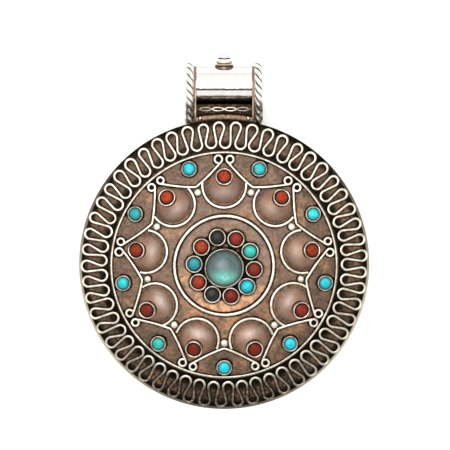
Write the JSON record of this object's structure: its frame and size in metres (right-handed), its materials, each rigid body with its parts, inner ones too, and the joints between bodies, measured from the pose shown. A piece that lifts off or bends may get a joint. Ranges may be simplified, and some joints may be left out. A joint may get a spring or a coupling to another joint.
{
  "type": "ghau amulet box",
  "caption": "Round ghau amulet box with a wire-worked copper front, coral and turquoise cabochons, a lift-off lid and a tube bail",
  "frame": {"origin": "centre of the flat back plate, on its outer face", "axes": "+X along the cord tube of the bail, +Y from the middle of the box to the bail, +Z out of the worked front; the box lies on its back"},
  "size_m": [0.064, 0.079, 0.0181],
  "materials": {
    "back_metal": "worn",
    "side_silver": "worn",
    "front_copper": "oxidised",
    "wire_silver": "polished",
    "petal_copper": "satin",
    "bezel_silver": "worn",
    "coral": "polished",
    "turquoise": "polished",
    "dark_stone": "polished",
    "teal_stone": "polished",
    "bail_silver": "polished",
    "bail_copper": "oxidised"
  },
  "bodies": {
    "base": {"back_plate": "back_metal", "back_wall": "back_metal"},
    "lid": {"bail_cheek_left": "bail_copper", "bail_cheek_right": "bail_copper", "bail_foot": "bail_copper", "bail_neck": "bail_copper", "bail_rope_left": "bail_silver", "bail_rope_right": "bail_silver", "bail_tube": "bail_silver", "centre_bezel": "bezel_silver", "centre_stone": "teal_stone", "chevron_1": "wire_silver", "chevron_2": "wire_silver", "chevron_3": "wire_silver", "chevron_4": "wire_silver", "chevron_5": "wire_silver", "chevron_6": "wire_silver", "chevron_7": "wire_silver", "chevron_8": "wire_silver", "chevron_9": "wire_silver", "coral_bezels": "bezel_silver", "coral_stones": "coral", "finial_ball": "bail_silver", "finial_collar": "bail_copper", "finial_ring": "bail_silver", "foot_balls": "bail_silver", "front_plate": "front_copper", "granules": "wire_silver", "lid_wall": "side_silver", "meander_wire": "wire_silver", "medallion_bezels": "bezel_silver", "medallion_coral_stones": "coral", "medallion_dark_stones": "dark_stone", "medallion_ring_wire": "wire_silver", "medallion_turquoise_stones": "turquoise", "neck_eyes": "bail_silver", "petal_arc_1": "wire_silver", "petal_arc_2": "wire_silver", "petal_arc_3": "wire_silver", "petal_arc_4": "wire_silver", "petal_arc_5": "wire_silver", "petal_arc_6": "wire_silver", "petal_arc_7": "wire_silver", "petal_arc_8": "wire_silver", "petal_arc_9": "wire_silver", "petal_dome_1": "petal_copper", "petal_dome_2": "petal_copper", "petal_dome_3": "petal_copper", "petal_dome_4": "petal_copper", "petal_dome_5": "petal_copper", "petal_dome_6": "petal_copper", "petal_dome_7": "petal_copper", "petal_dome_8": "petal_copper", "petal_dome_9": "petal_copper", "star_ring_wire": "wire_silver", "turquoise_bezels": "bezel_silver", "turquoise_stones": "turquoise"}
  },
  "joints": [
    {"name": "lid_lift", "type": "slide", "parent": "base", "child": "lid", "axis": [0, 0, 1], "range_m": [0, 0.02]}
  ]
}
